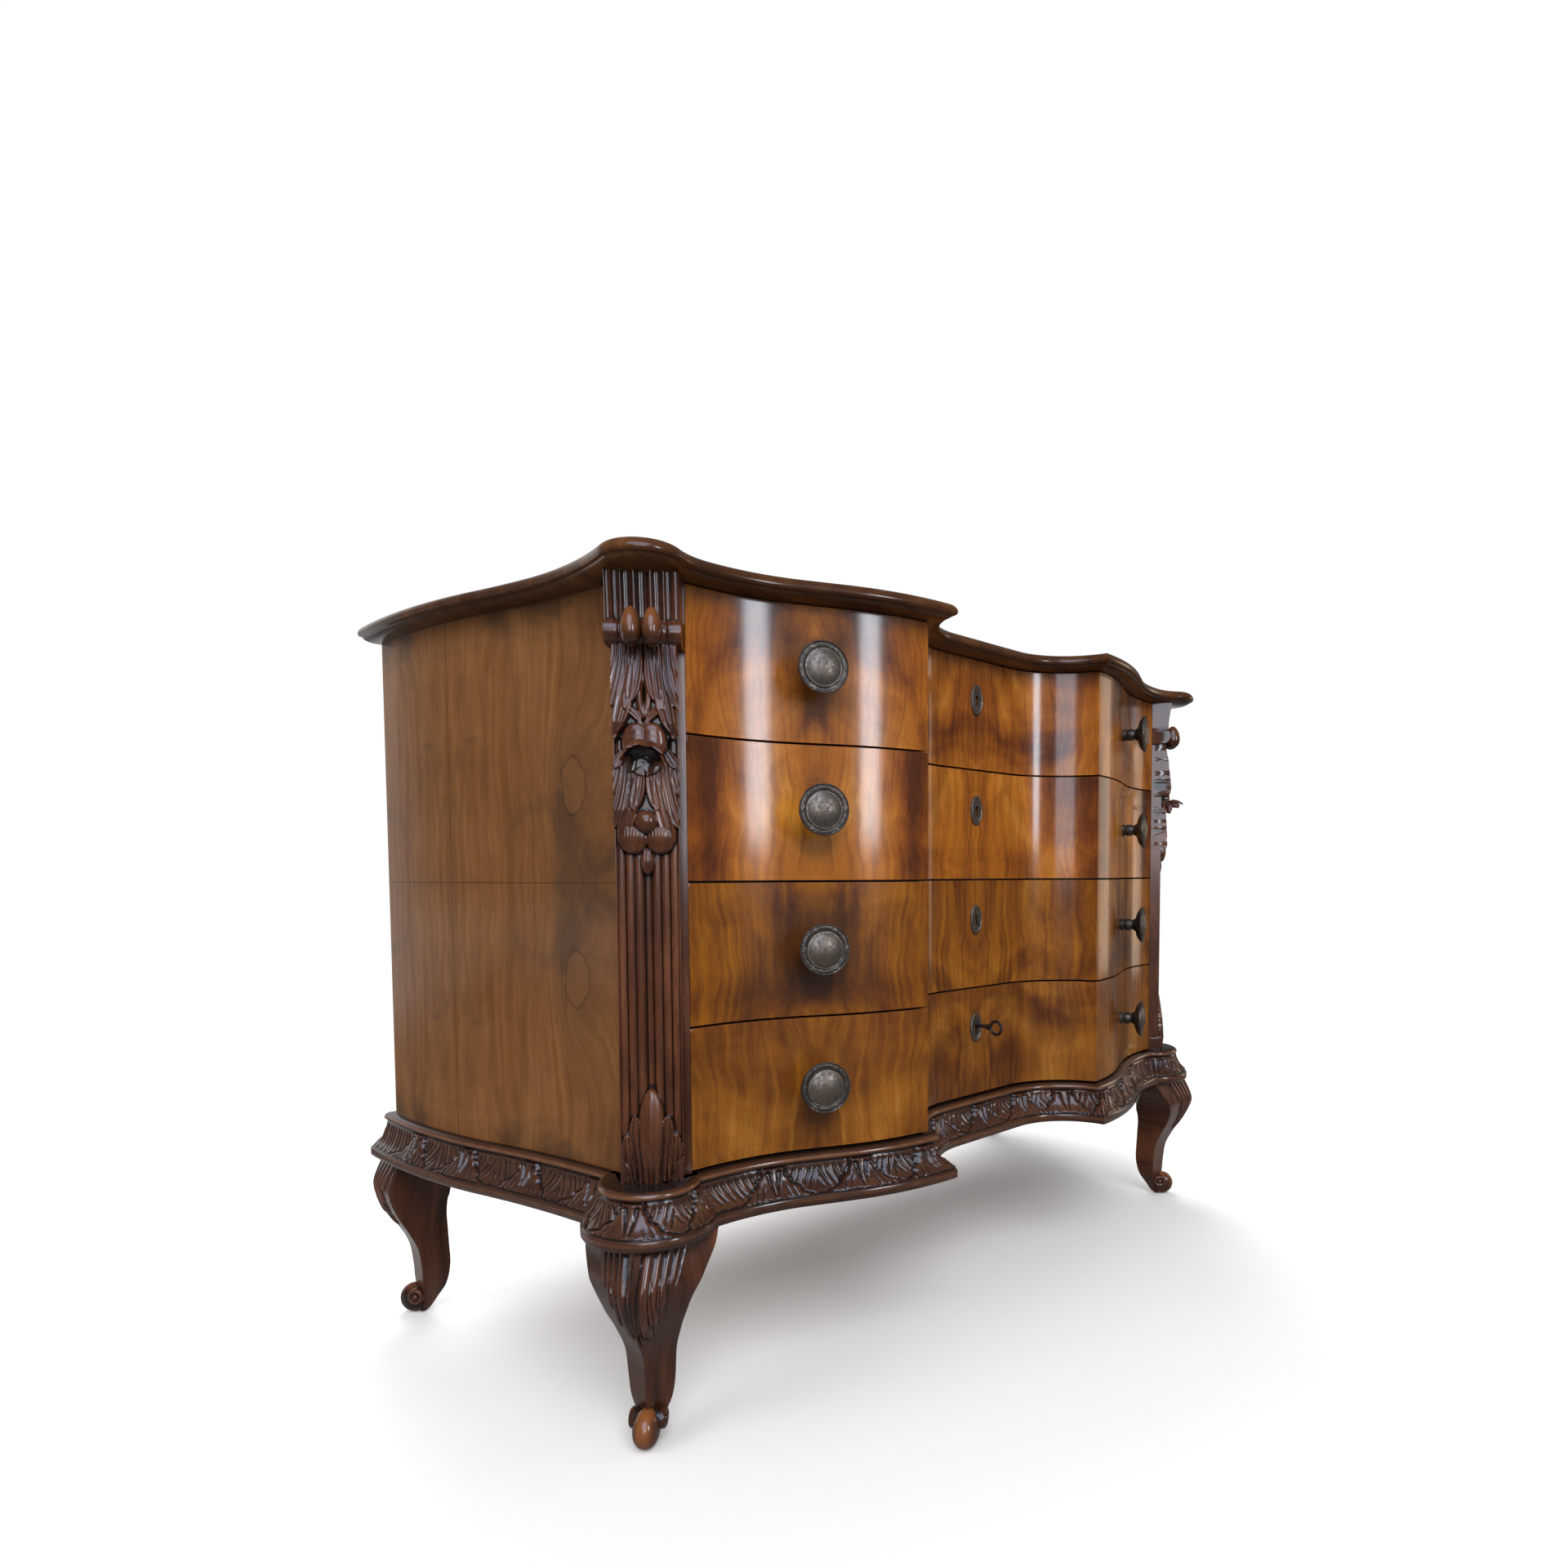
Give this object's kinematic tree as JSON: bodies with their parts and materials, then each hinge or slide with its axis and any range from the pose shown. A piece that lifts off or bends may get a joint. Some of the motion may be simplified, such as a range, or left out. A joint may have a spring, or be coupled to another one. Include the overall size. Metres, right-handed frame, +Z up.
{
  "type": "serpentine commode",
  "caption": "Serpentine-fronted walnut commode with lockable full-width drawers, carved canted posts, a moulded top and base, and cabriole legs with scroll toes.",
  "frame": {"origin": "on the floor, under the middle of the bounding box", "axes": "+X to the viewer's right along the front, +Y from the front to the back, +Z up"},
  "size_m": [1.27, 0.6101, 0.889],
  "materials": {
    "walnut_veneer": "polished figured walnut veneer",
    "carved_walnut": "dark stained and waxed carved walnut",
    "plain_pine": "bare aged pine",
    "antique_bronze": "dark patinated bronze",
    "lock_steel": "dulled steel"
  },
  "bodies": {
    "carcass": {"top_board": "walnut_veneer", "base_front_rail": "carved_walnut", "base_back_rail": "plain_pine", "floor_board": "plain_pine", "back_panel": "plain_pine", "top_rail": "plain_pine", "bottom_rail": "plain_pine", "divider_rails": "plain_pine", "runners": "plain_pine", "guides": "plain_pine", "left_base_side_rail": "carved_walnut", "right_base_side_rail": "carved_walnut", "left_corner_block": "carved_walnut", "right_corner_block": "carved_walnut", "left_front_leg": "carved_walnut", "right_front_leg": "carved_walnut", "left_rear_leg": "carved_walnut", "right_rear_leg": "carved_walnut", "left_front_post": "carved_walnut", "right_front_post": "carved_walnut", "left_post_carving": "carved_walnut", "right_post_carving": "carved_walnut", "left_side_panel": "walnut_veneer", "right_side_panel": "walnut_veneer", "left_rear_stile": "plain_pine", "right_rear_stile": "plain_pine"},
    "drawer_1": {"drawer_1_front": "walnut_veneer", "drawer_1_sides": "plain_pine", "drawer_1_back": "plain_pine", "drawer_1_bottom": "plain_pine", "drawer_1_knobs": "antique_bronze", "drawer_1_escutcheon": "antique_bronze", "drawer_1_lock": "lock_steel"},
    "bolt_1": {"drawer_1_bolt": "lock_steel"},
    "drawer_2": {"drawer_2_front": "walnut_veneer", "drawer_2_sides": "plain_pine", "drawer_2_back": "plain_pine", "drawer_2_bottom": "plain_pine", "drawer_2_knobs": "antique_bronze", "drawer_2_escutcheon": "antique_bronze", "drawer_2_lock": "lock_steel"},
    "bolt_2": {"drawer_2_bolt": "lock_steel"},
    "drawer_3": {"drawer_3_front": "walnut_veneer", "drawer_3_sides": "plain_pine", "drawer_3_back": "plain_pine", "drawer_3_bottom": "plain_pine", "drawer_3_knobs": "antique_bronze", "drawer_3_escutcheon": "antique_bronze", "drawer_3_lock": "lock_steel"},
    "bolt_3": {"drawer_3_bolt": "lock_steel"},
    "drawer_4": {"drawer_4_front": "walnut_veneer", "drawer_4_sides": "plain_pine", "drawer_4_back": "plain_pine", "drawer_4_bottom": "plain_pine", "drawer_4_knobs": "antique_bronze", "drawer_4_escutcheon": "antique_bronze", "drawer_4_lock": "lock_steel"},
    "bolt_4": {"drawer_4_bolt": "lock_steel"},
    "key": {"key": "lock_steel"}
  },
  "joints": [
    {"name": "drawer_1_slide", "type": "slide", "parent": "carcass", "child": "drawer_1", "axis": [0, -1, 0], "range_m": [0, 0.36]},
    {"name": "bolt_1_slide", "type": "slide", "parent": "drawer_1", "child": "bolt_1", "axis": [0, 0, 1], "range_m": [0, 0.009]},
    {"name": "drawer_2_slide", "type": "slide", "parent": "carcass", "child": "drawer_2", "axis": [0, -1, 0], "range_m": [0, 0.36]},
    {"name": "bolt_2_slide", "type": "slide", "parent": "drawer_2", "child": "bolt_2", "axis": [0, 0, 1], "range_m": [0, 0.009]},
    {"name": "drawer_3_slide", "type": "slide", "parent": "carcass", "child": "drawer_3", "axis": [0, -1, 0], "range_m": [0, 0.36]},
    {"name": "bolt_3_slide", "type": "slide", "parent": "drawer_3", "child": "bolt_3", "axis": [0, 0, 1], "range_m": [0, 0.009]},
    {"name": "drawer_4_slide", "type": "slide", "parent": "carcass", "child": "drawer_4", "axis": [0, -1, 0], "range_m": [0, 0.36]},
    {"name": "bolt_4_slide", "type": "slide", "parent": "drawer_4", "child": "bolt_4", "axis": [0, 0, 1], "range_m": [0, 0.009]},
    {"name": "key_turn", "type": "hinge", "parent": "drawer_4", "child": "key", "pos_m": [0, -0.19703, 0.3666], "axis": [0, 1, 0], "range_deg": [0, 90]}
  ],
  "couplings": [
    {"joint": "key_turn", "follows": "bolt_4_slide", "rad_per_m": 174.53}
  ]
}
